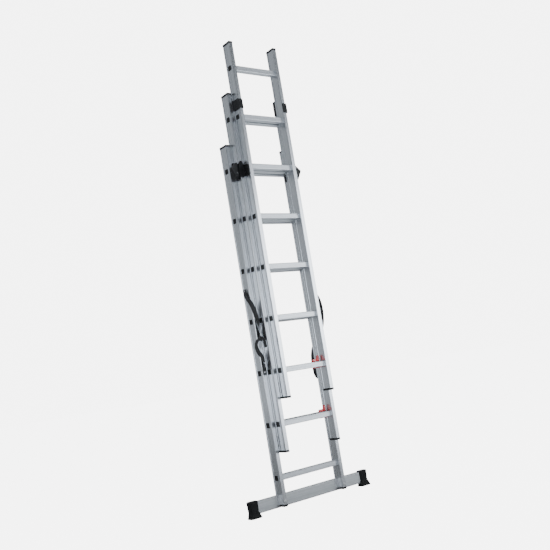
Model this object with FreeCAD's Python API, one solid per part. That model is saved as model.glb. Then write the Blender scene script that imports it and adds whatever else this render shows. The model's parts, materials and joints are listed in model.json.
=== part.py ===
import FreeCAD, Part
import math
import os

from FreeCAD import Vector

# Three-section aluminium ladder: a base section with a stabilizer bar, a middle section and a
# fly section. Each section is narrower than the one behind it and slides along it. The middle
# section also swings out of the base in two hinged cradles, which makes a step ladder.
# Frame: +Z up along the stiles, +X to the right along the rungs, -Y is the side that is
# climbed. Z = 0 is the floor under the rubber feet, and X = Y = 0 is the middle of the box.

# ---- driving dimensions, millimetres ----
RUNG_PITCH = 280.0        # rung to rung, the same in every section
RUNGS = 7                 # rungs in each section
RUNG = 30.0               # square rung tube, outside
RUNG_WALL = 1.4
RUNG_CORNER = 3.0
RIDGES = 5                # tread ridges along the top of a rung
RIDGE_H = 0.9
RIDGE_W = 2.2
RIDGE_PITCH = 4.8

STILE_W = 25.0            # stile section along X
STILE_D = 60.4            # stile section along Y
STILE_CORNER = 2.2
STILE_LIP = 9.0           # plain band at the front and back of each web
WEB_RECESS = 2.0          # the web lies this far inside the lips
STILE_WALL = 1.3
BOTTOM_OVERHANG = 150.0   # lowest rung axis to the section's bottom end
TOP_OVERHANG = 146.0      # highest rung axis to the section's top end

FLY_HALF = 166.0          # centre to the fly section's outer face
SECTION_GAP = 5.0         # side clearance between one section and the next
SECTION_STEP = 50.5       # front of one section to the front of the next, along Y
BASE_BOTTOM = 20.0        # the base stiles end this far above the floor
RAISED = 1                # rungs by which each section is raised at rest

CAP_T = 11.0               # end cap's plate
CAP_OVER = 1.2            # end cap's overhang past the stile
CAP_PLUG = 14.0           # end cap's tongue inside the stile
FIT = 0.3                 # clearance of plastic inserts and punched holes

BAR_H = 64.0              # stabilizer bar section along Z
BAR_D = 25.0
BAR_WALL = 2.0
BAR_HALF = 418.0          # centre to the end of the bar
BAR_Z = 18.0              # underside of the bar
NOTCH_D = 30.4            # depth of stile that runs down in front of the bar
CLAMP_T = 2.5             # clamp plate between stile and bar
CLAMP_SIDE = 23.0         # clamp plate's reach past each side of the stile

FOOT_WALL = 3.0           # rubber behind the bar
FOOT_H = 87.0
FOOT_CHAMFER = 11.0       # cut across the foot's outer upright edges
# Outlines of the rubber foot: height, inner end, outer end, reach in front of the bar.
FOOT_LEVELS = [(0.0, 360.0, 432.0, 20.5), (7.0, 360.0, 432.0, 20.5), (34.0, 368.0, 424.5, 10.0),
               (FOOT_H - 3.0, 366.0, 428.0, 8.5), (FOOT_H, 368.5, 425.5, 6.5)]

GUIDE_LIP = 4.0           # thickness of the fly guide's front lip
GUIDE_GAP = 1.2           # running clearance of guides and cradles
GUIDE_Z = 2168.0          # underside of the fly guide
GUIDE_H = 57.0
GUIDE_REAR_UP = 21.0      # the guide's rear leaf starts this far above its front
GUIDE_REAR_H = 75.0

HINGE_UP = 34.0           # hinge axis above the base's top rung
HINGE_PIN_R = 5.0
HINGE_EYE_R = 12.0
WING = 21.0               # the swing bracket's wing past the base's outer face
BRACKET_Z = 1786.0        # underside of the swing brackets and cradles
BRACKET_H = 67.0
CRADLE_HOOK_H = 38.0      # height of the cradle's hook round the stile's back lip
CRADLE_PEAK = 100.0       # top of the cradle's front plate above BRACKET_Z
CRADLE_T = 5.0            # thickness of the cradle's front plate

LATCH_T = 8.0             # latch lever's thickness
LATCH_UP = 36.0           # spike above the rung's top
LATCH_BACK = 20.0         # latch pin behind the rung's axis
LATCH_PIN_Z = 12.0        # latch pin above the rung's axis
LATCH_PIN_R = 2.5
LATCH_OFF = 8.0           # gap between spike and stile
LATCH_SPIKE_W = 15.0
LATCH_TAB_W = 46.0

STRAP_TUBE = 7.0          # plain stand-in for the webbing
SCREW_R = 2.5
SCREW_HEAD_R = 5.0
SCREW_HEAD_T = 2.0
BOLT_R = 4.0
BOLT_HEAD_R = 7.5
BOLT_HEAD_T = 5.0

# ---- places that follow from them ----
MID_HALF = FLY_HALF + STILE_W + SECTION_GAP
BASE_HALF = MID_HALF + STILE_W + SECTION_GAP
BACK = 2 * SECTION_STEP + NOTCH_D + CLAMP_T + BAR_D + FOOT_WALL
FRONT = -(GUIDE_GAP + GUIDE_LIP)
FLY_Y = -(BACK + FRONT) / 2
MID_Y = FLY_Y + SECTION_STEP
BASE_Y = MID_Y + SECTION_STEP
BAR_Y = BASE_Y + NOTCH_D + CLAMP_T
RAISE = RAISED * RUNG_PITCH
SECTIONS = {
    "base": (BASE_HALF, BASE_Y, BASE_BOTTOM),
    "middle": (MID_HALF, MID_Y, BASE_BOTTOM + RAISE),
    "fly": (FLY_HALF, FLY_Y, BASE_BOTTOM + 2 * RAISE),
}
SECTION_LENGTH = BOTTOM_OVERHANG + (RUNGS - 1) * RUNG_PITCH + TOP_OVERHANG
TOP_RUNG_Z = BASE_BOTTOM + BOTTOM_OVERHANG + (RUNGS - 1) * RUNG_PITCH
HINGE_Y = BASE_Y + STILE_D / 2
HINGE_Z = TOP_RUNG_Z + HINGE_UP
BEAD_R = 17.5             # half side of the bead round a rung at the stile
X_AXIS, Y_AXIS, Z_AXIS = Vector(1, 0, 0), Vector(0, 1, 0), Vector(0, 0, 1)


def box(x0, x1, y0, y1, z0, z1):
    return Part.makeBox(x1 - x0, y1 - y0, z1 - z0, Vector(x0, y0, z0))


def rod(radius, start, end):
    """A round bar between two points."""
    line = Vector(*end) - Vector(*start)
    return Part.makeCylinder(radius, line.Length, Vector(*start), line)


def prism(points, along):
    """A closed flat outline, swept straight along a vector."""
    corners = [Vector(*p) for p in points]
    return Part.Face(Part.makePolygon(corners + corners[:1])).extrude(Vector(*along))


def rounded(width, height, corner):
    """A rectangle about the origin in the XY plane with round corners."""
    block = box(-width / 2, width / 2, -height / 2, height / 2, 0, 1)
    upright = [e for e in block.Edges if abs(e.tangentAt(0).z) > 0.9]
    return [f for f in block.makeFillet(corner, upright).Faces if f.CenterOfMass.z < 1e-6][0]


def mirrored(shape):
    return shape.mirror(Vector(0, 0, 0), X_AXIS)


def joined(shapes):
    return shapes[0].fuse(shapes[1:]).removeSplitter() if len(shapes) > 1 else shapes[0]


def save(name, *solids):
    """Writes one node: one solid, or a group of separate ones."""
    shape = solids[0] if len(solids) == 1 else Part.makeCompound(list(solids))
    assert shape.isValid(), name
    shape.exportStep("parts/" + name + ".step")
    print(f"{name}: {len(shape.Solids)} solid(s), {shape.Volume / 1000:.1f} cm3")


# ---- stiles, rungs, plugs and caps: the same in all three sections ----
def stile(half, front, bottom):
    """The left stile of a section: a hollow extrusion with a recessed web on both sides."""
    length = SECTION_LENGTH - 2 * CAP_T
    face = rounded(STILE_W, STILE_D, STILE_CORNER)
    bar = face.extrude(Vector(0, 0, length))
    web = STILE_D / 2 - STILE_LIP
    for side in (-1, 1):
        edge = side * STILE_W / 2
        inner = edge - side * WEB_RECESS
        bar = bar.cut(box(min(edge, inner), max(edge, inner), -web, web, 0, length))
    hollow_w = STILE_W - 2 * (WEB_RECESS + STILE_WALL)
    hollow_d = STILE_D - 2 * STILE_WALL
    bar = bar.cut(box(-hollow_w / 2, hollow_w / 2, -hollow_d / 2, hollow_d / 2, 0, length))
    bar.translate(Vector(-half + STILE_W / 2, front + STILE_D / 2, bottom + CAP_T))
    hole = RUNG / 2 + FIT / 2
    for z in rung_heights(bottom):
        bar = bar.cut(box(-half - 1, -half + STILE_W + 1, front + STILE_D / 2 - hole,
                          front + STILE_D / 2 + hole, z - hole, z + hole))
    return bar


def rung_heights(bottom):
    return [bottom + BOTTOM_OVERHANG + i * RUNG_PITCH for i in range(RUNGS)]


def tube_along_x(size, corner, x0, x1):
    face = rounded(size, size, corner)
    face.rotate(Vector(0, 0, 0), Y_AXIS, 90)
    face.translate(Vector(x0, 0, 0))
    return face.extrude(Vector(x1 - x0, 0, 0))


def rung(half):
    """A ridged square tube, swaged into the stiles with a bead inside and a flare outside."""
    end, inside = half - WEB_RECESS, half - STILE_W
    body = [tube_along_x(RUNG, RUNG_CORNER, -end, end)]
    for side in (-1, 1):
        bead = sorted((side * (inside - 1.6), side * (inside + WEB_RECESS)))
        flare = sorted((side * end, side * (end + 0.9)))
        body.append(tube_along_x(2 * BEAD_R, 4.0, *bead))
        body.append(tube_along_x(2 * BEAD_R - 2, 4.0, *flare))
    for i in range(RIDGES):
        y = (i - (RIDGES - 1) / 2) * RIDGE_PITCH
        body.append(box(-inside + 1.6, inside - 1.6, y - RIDGE_W / 2, y + RIDGE_W / 2,
                        RUNG / 2 - 0.5, RUNG / 2 + RIDGE_H))
    bore = RUNG - 2 * RUNG_WALL
    return joined(body).cut(tube_along_x(bore, RUNG_CORNER - RUNG_WALL, -half, half))


def rung_plug(half):
    """The left black plug in a rung's end, with a round dimple in its face."""
    size = RUNG - 2 * RUNG_WALL - FIT
    plug = tube_along_x(size, 1.4, -half + 0.3, -half + 14)
    return plug.cut(rod(6.5, (-half, 0, 0), (-half + 1.6, 0, 0)))


def end_cap(half, front, z, up, depth=STILE_D, plug_depth=None):
    """A plastic cap at a stile's end: a rounded plate and a tongue inside the stile."""
    plate = rounded(STILE_W + 2 * CAP_OVER, depth + 2 * CAP_OVER, STILE_CORNER + CAP_OVER)
    plate = plate.extrude(Vector(0, 0, CAP_T))
    rim = [e for e in plate.Edges if e.CenterOfMass.z > CAP_T - 0.01]
    plate = plate.makeFillet(2.2, rim)
    tongue_w = STILE_W - 2 * (WEB_RECESS + STILE_WALL) - FIT
    tongue_d = (plug_depth or depth - 2 * STILE_WALL) - FIT
    tongue = box(-tongue_w / 2, tongue_w / 2, -tongue_d / 2, tongue_d / 2, -CAP_PLUG, 0.5)
    cap = joined([plate, tongue])
    if not up:
        cap.rotate(Vector(0, 0, 0), X_AXIS, 180)
    cap.translate(Vector(-half + STILE_W / 2, front + depth / 2, z))
    return cap


def notched(bar):
    """The base stile's foot: its back is cut away over the stabilizer bar."""
    top = BAR_Z + BAR_H + FIT
    bar = bar.cut(box(-BASE_HALF - 1, -BASE_HALF + STILE_W + 1, BASE_Y + NOTCH_D,
                      BASE_Y + STILE_D + 1, 0, top))
    bolt = bolt_axis()
    return bar.cut(rod(BOLT_R + FIT / 2, bolt[0], bolt[1]))


# ---- stabilizer bar with its feet, clamp plates and bolts ----
def bolt_axis():
    x = -BASE_HALF + STILE_W / 2
    z = BAR_Z + BAR_H / 2
    return (x, BASE_Y - 1, z), (x, BAR_Y + BAR_D + 1, z)


def stabilizer_bar():
    outer = box(-BAR_HALF, BAR_HALF, BAR_Y, BAR_Y + BAR_D, BAR_Z, BAR_Z + BAR_H)
    along = [e for e in outer.Edges if abs(e.tangentAt(0).x) > 0.9]
    outer = outer.makeFillet(2.5, along)
    bore = box(-BAR_HALF, BAR_HALF, BAR_Y + BAR_WALL, BAR_Y + BAR_D - BAR_WALL,
               BAR_Z + BAR_WALL, BAR_Z + BAR_H - BAR_WALL)
    hole = rod(BOLT_R + FIT / 2, *bolt_axis())
    return outer.cut(bore).cut(hole).cut(mirrored(hole))


def clamp_plate():
    """The flat plate between the left stile's foot and the bar."""
    plate = box(-BASE_HALF - CLAMP_SIDE, -BASE_HALF + STILE_W + CLAMP_SIDE,
                BASE_Y + NOTCH_D, BAR_Y, BASE_BOTTOM + CAP_T + 1, BAR_Z + BAR_H - 1)
    return plate.cut(rod(BOLT_R + FIT / 2, *bolt_axis()))


def stabilizer_bolt():
    """Bolt, with its head in front of the stile and its nut behind the bar."""
    (x, _, z), _ = bolt_axis()
    head_y, nut_y = BASE_Y, BAR_Y + BAR_D
    shank = rod(BOLT_R, (x, head_y - 1, z), (x, nut_y + BOLT_HEAD_T, z))
    parts = [shank]
    for y0 in (head_y - BOLT_HEAD_T, nut_y):
        hexagon = [(x + BOLT_HEAD_R * math.cos(math.radians(60 * i)), y0,
                    z + BOLT_HEAD_R * math.sin(math.radians(60 * i))) for i in range(6)]
        parts.append(prism(hexagon, (0, BOLT_HEAD_T, 0)))
    return joined(parts)


def foot_outline(z, x_in, x_out, reach):
    """A level outline of the left foot, with its corners cut off."""
    front, back = BAR_Y - reach, BAR_Y + BAR_D + FOOT_WALL
    cut = FOOT_CHAMFER
    corners = [(-x_in, front), (-x_in, back - cut), (-x_in - cut, back), (-x_out + cut, back),
               (-x_out, back - cut), (-x_out, front + cut / 2), (-x_out + cut / 2, front)]
    points = [Vector(x, y, z) for x, y in corners]
    return Part.makePolygon(points + points[:1])


def stabilizer_foot():
    """The left rubber foot: a boot over the bar's end with a waist and a flared sole."""
    outlines = [foot_outline(*level) for level in FOOT_LEVELS]
    boot = joined([Part.makeLoft([low, high], True, True)
                   for low, high in zip(outlines, outlines[1:])])
    socket = box(-BAR_HALF - FIT, 0, BAR_Y - FIT, BAR_Y + BAR_D + FIT,
                 BAR_Z - FIT, BAR_Z + BAR_H + FIT)
    return boot.cut(socket)


# ---- brackets on the base, and the hinged cradles that carry the middle section ----
def swing_bracket():
    """The left block in front of the base stile, with a finger wing to the outside."""
    y0, y1 = MID_Y + 1.5, BASE_Y
    z0, z1 = BRACKET_Z, BRACKET_Z + BRACKET_H
    x_in, tip = -BASE_HALF + STILE_W - 0.4, -BASE_HALF - WING
    low = -BASE_HALF + 3
    block = prism([(x_in, y0, z1 - 6), (x_in - 5, y0, z1), (low, y0, z1), (low, y0, z0 + 14),
                   (low + 6, y0, z0), (x_in - 4, y0, z0), (x_in, y0, z0 + 6)],
                  (0, y1 - y0, 0))
    wing = prism([(x_in - 3, y0, z1 + 26), (x_in - 9, y0, z1 + 26), (tip, y0, z1 - 6),
                  (tip + 3, y0, z1 - 14), (low - 2, y0, z0 + 22), (x_in - 3, y0, z0 + 22)],
                 (0, 18, 0))
    groin = prism([(low, y0 - 1, z0 - 1), (low, y0 + 16, z0 - 1), (low, y0 - 1, z0 + 18)],
                  (STILE_W, 0, 0))
    lug = joined([block, wing]).cut(groin)
    return lug.cut(bracket_screw(SCREW_R + FIT / 2, head=False))


def hinge_pin(radius=HINGE_PIN_R):
    """The left pin: through the base stile's inner wall, with a head inside the stile."""
    web = -BASE_HALF + STILE_W - WEB_RECESS
    wall = web - STILE_WALL
    ends = [(wall - 2.0, -MID_HALF - GUIDE_GAP - 0.3, radius),
            (wall - 2.0, wall, radius + 3.5), (web, -MID_HALF - SECTION_GAP + 0.3, radius + 3.5)]
    return joined([rod(r, (x0, HINGE_Y, HINGE_Z), (x1, HINGE_Y, HINGE_Z)) for x0, x1, r in ends])


def pin_hole():
    return rod(HINGE_PIN_R, (-BASE_HALF + STILE_W - 8, HINGE_Y, HINGE_Z),
               (-MID_HALF - SECTION_GAP, HINGE_Y, HINGE_Z))


def bracket_screw(radius=SCREW_R, head=True):
    """Screw from the bracket's front into the base stile's front wall."""
    x, z = -BASE_HALF + STILE_W / 2, BRACKET_Z + BRACKET_H / 2
    face = MID_Y + 1.5
    shank = rod(radius, (x, face, z), (x, BASE_Y + 8, z))
    if not head:
        return shank
    return joined([shank, rod(SCREW_HEAD_R, (x, face - SCREW_HEAD_T, z), (x, face, z))])


def cradle():
    """The left cradle: hooks round the middle stile's back lip and reaches past its front."""
    gap = GUIDE_GAP
    x_out, x_web = -MID_HALF - SECTION_GAP + 0.6, -MID_HALF - gap
    back0, back1 = MID_Y + STILE_D + gap, MID_Y + STILE_D + gap + 2.4
    z0, z1 = BRACKET_Z, BRACKET_Z + CRADLE_PEAK
    hook_z = z0 + 8
    inner, tip = -MID_HALF + STILE_W + gap, -FLY_HALF - gap
    front1 = MID_Y - gap
    front0 = front1 - CRADLE_T
    plate = box(x_out, x_web, front0, MID_Y + STILE_D, z0 + 8, z1 - 14)
    eye = rod(HINGE_EYE_R, (x_out, HINGE_Y, HINGE_Z), (x_web, HINGE_Y, HINGE_Z))
    arm = prism([(x_out, MID_Y + 36, z1 - 15), (x_out, MID_Y + 40, HINGE_Z + 4),
                 (x_out, HINGE_Y, HINGE_Z + HINGE_EYE_R), (x_out, HINGE_Y, HINGE_Z - HINGE_EYE_R + 2),
                 (x_out, MID_Y + STILE_D + 1, HINGE_Z - HINGE_EYE_R + 2),
                 (x_out, MID_Y + STILE_D - 4, z1 - 40)], (x_web - x_out, 0, 0))
    heel = box(x_out, x_web, MID_Y + STILE_D - 2, back1, hook_z, hook_z + CRADLE_HOOK_H)
    back = box(x_out, inner + 2.6, back0, back1, hook_z, hook_z + CRADLE_HOOK_H)
    hook = box(inner, inner + 2.6, back1 - 12, back1, hook_z, hook_z + CRADLE_HOOK_H)
    front = prism([(x_out, front0, z0 + 10), (x_out, front0, z0 + 62), (x_out + 9, front0, z1 - 4),
                   (x_out + 12, front0, z1), (x_out + 24, front0, z1), (tip, front0, z1 - 18),
                   (tip, front0, z0 + 18), (tip - 12, front0, z0 + 10)], (0, CRADLE_T, 0))
    claw = prism([(tip, front1, z1 - 20), (tip, FLY_Y + 18, z1 - 27), (tip, FLY_Y + 4, z1 - 31),
                  (tip, FLY_Y - 2, z1 - 50), (tip, FLY_Y - 1, z1 - 68), (tip, FLY_Y + 12, z1 - 84),
                  (tip, FLY_Y + 30, z1 - 90), (tip, front1, z1 - 86)], (-6, 0, 0))
    window = rod(4.5, (tip - 7, FLY_Y + 36, z0 + 32), (tip + 1, FLY_Y + 36, z0 + 32))
    shell = joined([plate, eye, arm, heel, back, hook, front, claw]).cut(window)
    return shell.cut(rod(HINGE_PIN_R + 0.1, (x_out - 1, HINGE_Y, HINGE_Z),
                         (x_web + 1, HINGE_Y, HINGE_Z)))


# ---- guides on the middle section's top that hold the fly section ----
def fly_guide():
    """The left guide: a leaf on the middle stile's inner face and a lip over the fly's front."""
    x1 = -FLY_HALF - GUIDE_GAP
    x0 = -MID_HALF + STILE_W + 0.1
    y0, y1 = FLY_Y - GUIDE_GAP - GUIDE_LIP, MID_Y + STILE_D - 1
    z0, z1 = GUIDE_Z, GUIDE_Z + GUIDE_H
    rear0, rear1 = z0 + GUIDE_REAR_UP, z0 + GUIDE_REAR_UP + GUIDE_REAR_H
    leaf = prism([(x0, y0, z0 + 2), (x0, y0 + 2, z0), (x0, MID_Y - 3, z0), (x0, MID_Y + 16, rear0),
                  (x0, y1, rear0), (x0, y1, rear1), (x0, MID_Y + 34, rear1), (x0, MID_Y - 3, z1 + 4),
                  (x0, MID_Y - 10, z1), (x0, y0 + 2, z1), (x0, y0, z1 - 2)], (x1 - x0, 0, 0))
    lip = box(x0, -FLY_HALF + STILE_W, y0, y0 + GUIDE_LIP, z0 + 2, z1 - 2)
    dish = box(x1 + 3, -FLY_HALF + STILE_W - 5, y0 - 1, y0 + 1.5, z0 + 12, z1 - 12)
    guide = joined([leaf, lip]).cut(dish)
    for rivet in guide_rivets(SCREW_R + FIT / 2, heads=False):
        guide = guide.cut(rivet)
    return guide


def guide_rivets(radius=SCREW_R, heads=True):
    """The left guide's two rivets, through its rear leaf and the middle stile's inner wall."""
    y = MID_Y + STILE_D / 2
    face = -FLY_HALF - GUIDE_GAP
    inside = -MID_HALF + STILE_W - WEB_RECESS - STILE_WALL - 1
    made = []
    for z in (GUIDE_Z + GUIDE_REAR_UP + 16, GUIDE_Z + GUIDE_REAR_UP + GUIDE_REAR_H - 18):
        rivet = rod(radius, (inside, y, z), (face, y, z))
        if heads:
            rivet = joined([rivet, rod(SCREW_HEAD_R, (face, y, z), (face + SCREW_HEAD_T, y, z))])
        made.append(rivet)
    return made


def glide_pads(half, front, bottom):
    """Thin plastic pads on the back edge of both stiles, near the section's bottom end."""
    pad = box(-half - SECTION_GAP + 1.6, -half, front + STILE_D - STILE_LIP + 0.5,
              front + STILE_D - 0.5, bottom + 30, bottom + 90)
    return pad, mirrored(pad)


# ---- latches at the right end of the lowest rungs of the middle and fly sections ----
def latch_places(half, front, bottom):
    """The latch's stile side, the pin's Y and Z, and the rung's Y and Z."""
    rung_y, rung_z = front + STILE_D / 2, bottom + BOTTOM_OVERHANG
    return -half + STILE_W + LATCH_OFF, rung_y + LATCH_BACK, rung_z + LATCH_PIN_Z, rung_y, rung_z


def latch(half, front, bottom):
    """A lever as on the left side: a spike beside the stile and a finger tab to the middle."""
    x, y, z, _, rung_z = latch_places(half, front, bottom)
    top = rung_z + RUNG / 2 + LATCH_UP
    t = LATCH_T / 2
    hub = rod(t, (x, y, z), (x + LATCH_TAB_W, y, z))
    tab = prism([(x, y - t + 0.6, z), (x, y + t, z), (x, y + t - 3, z + 18), (x, y - t - 5, z + 18),
                 (x, y - t - 5, z + 7)], (LATCH_TAB_W, 0, 0))
    spike = prism([(x, y - t - 5, z + 10), (x, y + t - 2, z + 10), (x, y + t - 5, top - 3),
                   (x, y - 3, top), (x, y - t - 4, top - 5)], (LATCH_SPIKE_W, 0, 0))
    slope = prism([(x + LATCH_SPIKE_W, y - 30, top - 14), (x + LATCH_SPIKE_W, y - 30, top + 5),
                   (x + 6, y - 30, top + 5)], (0, 60, 0))
    lever = joined([hub, tab, spike]).cut(slope)
    return lever.cut(rod(LATCH_PIN_R + 0.1, (x - 1, y, z), (x + LATCH_TAB_W + 1, y, z)))


def latch_housing(half, front, bottom):
    """The latch's bracket on the rung's back: a plate with an ear at each end of the pin."""
    x, y, z, rung_y, rung_z = latch_places(half, front, bottom)
    back = rung_y + RUNG / 2
    plate = box(x - 4, x + LATCH_TAB_W + 4, back, back + 1.4, rung_z - 19, rung_z + 5)
    foot = box(x - 4, x + LATCH_SPIKE_W, back - 8, back + 1.4, rung_z - 19, rung_z - RUNG / 2)
    ears = [prism([(x0, back, z + 3), (x0, y + 3, z + 3), (x0, y + 3, z - 4),
                   (x0, back + 1.4, z - 14), (x0, back, z - 14)], (3, 0, 0))
            for x0 in (x - 3.6, x + LATCH_TAB_W + 0.6)]
    housing = joined([plate, foot] + ears)
    return housing.cut(rod(LATCH_PIN_R + 0.05, (x - 6, y, z), (x + LATCH_TAB_W + 6, y, z)))


def latch_pin(half, front, bottom):
    x, y, z, _, _ = latch_places(half, front, bottom)
    return rod(LATCH_PIN_R, (x - 4.2, y, z), (x + LATCH_TAB_W + 4.2, y, z))


# ---- webbing straps, their end plates and screws ----
# Each route runs from the upper screw on the base stile's side, relative to the base stile's
# front outer edge (X outwards, Y backwards) and to the floor.
LEFT_ROUTE = [(5, 37, 1168), (9, 22, 1146), (9, 3, 1124), (2, -11, 1092), (-6, -15, 1048),
              (-13, -15, 1000), (-18, -12, 953), (-17, -9, 918), (0, -6, 896), (11, 2, 876),
              (6, 0, 848), (-6, -10, 818), (-17, -14, 786), (-19, -11, 754)]
RIGHT_ROUTE = [(5, 37, 1168), (22, 26, 1144), (37, 14, 1110), (46, 12, 1064), (48, 16, 1012),
               (44, 25, 960), (36, 40, 910), (22, 60, 870), (4, 76, 838), (-16, 84, 800),
               (-29, 86, 756), (-33, 84, 712), (-25, 80, 676), (-6, 78, 652), (12, 67, 646),
               (18, 51, 658), (9, 39, 680)]


def route_points(route, side):
    return [Vector(side * (BASE_HALF + x), BASE_Y + y, z) for x, y, z in route]


def strap(route, side):
    """A plain tube along the strap: straight runs joined by the largest arcs that fit."""
    points = route_points(route, side)
    edges, radii, at = [], [], points[0]
    for before, corner, after in zip(points, points[1:], points[2:]):
        a, b = (before - corner), (after - corner)
        turn = math.pi - a.getAngle(b)
        reach = 0.45 * min(a.Length, b.Length)
        radii.append(reach / math.tan(turn / 2))
        start = corner + a.normalize() * reach
        end = corner + b.normalize() * reach
        bulge = reach / math.tan(turn / 2) * (1 / math.cos(turn / 2) - 1)
        middle = corner + (a + b).normalize() * bulge
        edges += [Part.LineSegment(at, start).toShape(), Part.Arc(start, middle, end).toShape()]
        at = end
    edges.append(Part.LineSegment(at, points[-1]).toShape())
    path = Part.Wire(edges)
    ring = Part.Wire(Part.makeCircle(STRAP_TUBE / 2, points[0], points[1] - points[0]))
    tube = path.makePipeShell([ring], True, False)
    length, section = path.Length, math.pi * STRAP_TUBE ** 2 / 4
    print(f"strap: {length:.0f} mm, volume ratio {tube.Volume / (length * section):.3f},"
          f" radii {[round(r) for r in radii]}")
    return tube


def strap_plates(route, side):
    """Upper plate on the stile's side, lower clip at the route's other end."""
    top, low = route_points(route, side)[0], route_points(route, side)[-1]
    face = side * BASE_HALF
    made = []
    if low.y < BASE_Y:
        x0, x1 = sorted((side * (BASE_HALF - 23.5), side * (BASE_HALF - 1.5)))
        made.append(box(x0, x1, BASE_Y - 3, BASE_Y, low.z - 34, low.z - STRAP_TUBE / 2))
    else:
        x0, x1 = sorted((face - side * WEB_RECESS, face + side * 2))
        made.append(box(x0, x1, low.y - 11, low.y + 11, low.z + STRAP_TUBE / 2, low.z + 30))
    x0, x1 = sorted((face - side * WEB_RECESS, face + side * 2))
    made.append(box(x0, x1, top.y - 11, top.y + 11, top.z + STRAP_TUBE / 2, top.z + 24))
    return [plate.cut(joined(strap_screws(route, side, head=False))) for plate in made]


def strap_screws(route, side, head=True):
    """One screw through the middle of each plate, into the stile's wall."""
    top, low = route_points(route, side)[0], route_points(route, side)[-1]
    radius = SCREW_R if head else SCREW_R + FIT / 2
    out = Vector(side, 0, 0)
    places = [(Vector(side * (BASE_HALF + 2), top.y, top.z + 14), out)]
    if low.y < BASE_Y:
        places.append((Vector(side * (BASE_HALF - STILE_W / 2), BASE_Y - 3, low.z - 20), -Y_AXIS))
    else:
        places.append((Vector(side * (BASE_HALF + 2), low.y, low.z + 17), out))
    made = []
    for face, way in places:
        screw = rod(radius, face - way * 9, face)
        made.append(joined([screw, rod(SCREW_HEAD_R, face, face + way * SCREW_HEAD_T)])
                    if head else screw)
    return made


def main():
    os.makedirs("parts", exist_ok=True)
    for name, (half, front, bottom) in SECTIONS.items():
        left = stile(half, front, bottom)
        top = bottom + SECTION_LENGTH - CAP_T
        low_depth = NOTCH_D if name == "base" else STILE_D
        low_tongue = NOTCH_D - 3 * STILE_WALL if name == "base" else None
        caps = [end_cap(half, front, top, True),
                end_cap(half, front, bottom + CAP_T, False, low_depth, low_tongue)]
        if name == "base":
            left = notched(left).cut(bracket_screw(SCREW_R + FIT / 2, head=False)).cut(pin_hole())
        if name == "middle":
            for hole in guide_rivets(SCREW_R + FIT / 2, heads=False):
                left = left.cut(hole)
        right = mirrored(left)
        if name == "base":
            left = left.cut(joined(strap_screws(LEFT_ROUTE, -1, head=False)))
            right = right.cut(joined(strap_screws(RIGHT_ROUTE, 1, head=False)))
        save(name + "_left_stile", left)
        save(name + "_right_stile", right)
        bar, plug = rung(half), rung_plug(half)
        plugs = []
        for i, z in enumerate(rung_heights(bottom)):
            place = Vector(0, front + STILE_D / 2, z)
            save(f"{name}_rung_{i + 1}", bar.translated(place))
            plugs += [plug.translated(place), mirrored(plug.translated(place))]
        save(name + "_rung_plugs", *plugs)
        save(name + "_end_caps", *caps, *[mirrored(c) for c in caps])
        if name == "base":
            continue
        save(name + "_glide_pads", *glide_pads(half, front, bottom))
        for piece, maker in (("latch", latch), ("latch_housing", latch_housing),
                             ("latch_pin", latch_pin)):
            save(f"{name}_{piece}", mirrored(maker(half, front, bottom)))

    for name, maker in (("stabilizer_foot", stabilizer_foot), ("swing_bracket", swing_bracket),
                        ("cradle", cradle), ("fly_guide", fly_guide)):
        left = maker()
        save(name + "_left", left)
        save(name + "_right", mirrored(left))
    save("stabilizer_bar", stabilizer_bar())
    for name, maker in (("stabilizer_clamps", clamp_plate), ("stabilizer_bolts", stabilizer_bolt),
                        ("hinge_pins", hinge_pin), ("swing_bracket_screws", bracket_screw)):
        left = maker()
        save(name, left, mirrored(left))
    rivets = guide_rivets()
    save("fly_guide_rivets", *rivets, *[mirrored(r) for r in rivets])
    save("strap_left", strap(LEFT_ROUTE, -1))
    save("strap_right", strap(RIGHT_ROUTE, 1))
    for name, maker in (("strap_plates", strap_plates), ("strap_screws", strap_screws)):
        save(name, *maker(LEFT_ROUTE, -1), *maker(RIGHT_ROUTE, 1))


main()
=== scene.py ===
# %% [markdown]
# # A three-section aluminium ladder, finished in Blender
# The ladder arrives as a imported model: stiles, rungs, brackets and joints, all in metres, with
# Z up along the stiles and X along the rungs. Everything here is placed from that model, so
# every piece sits where the maker put it. The lesson is about two things: giving plain
# extrusions and mouldings a real surface, and modelling by hand the few pieces that a
# solid modeller leaves plain, such as rubber feet, screw heads and webbing.

# %% Load the model
import json
import math

import bmesh
import bpy
from mathutils import Matrix, Vector


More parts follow.
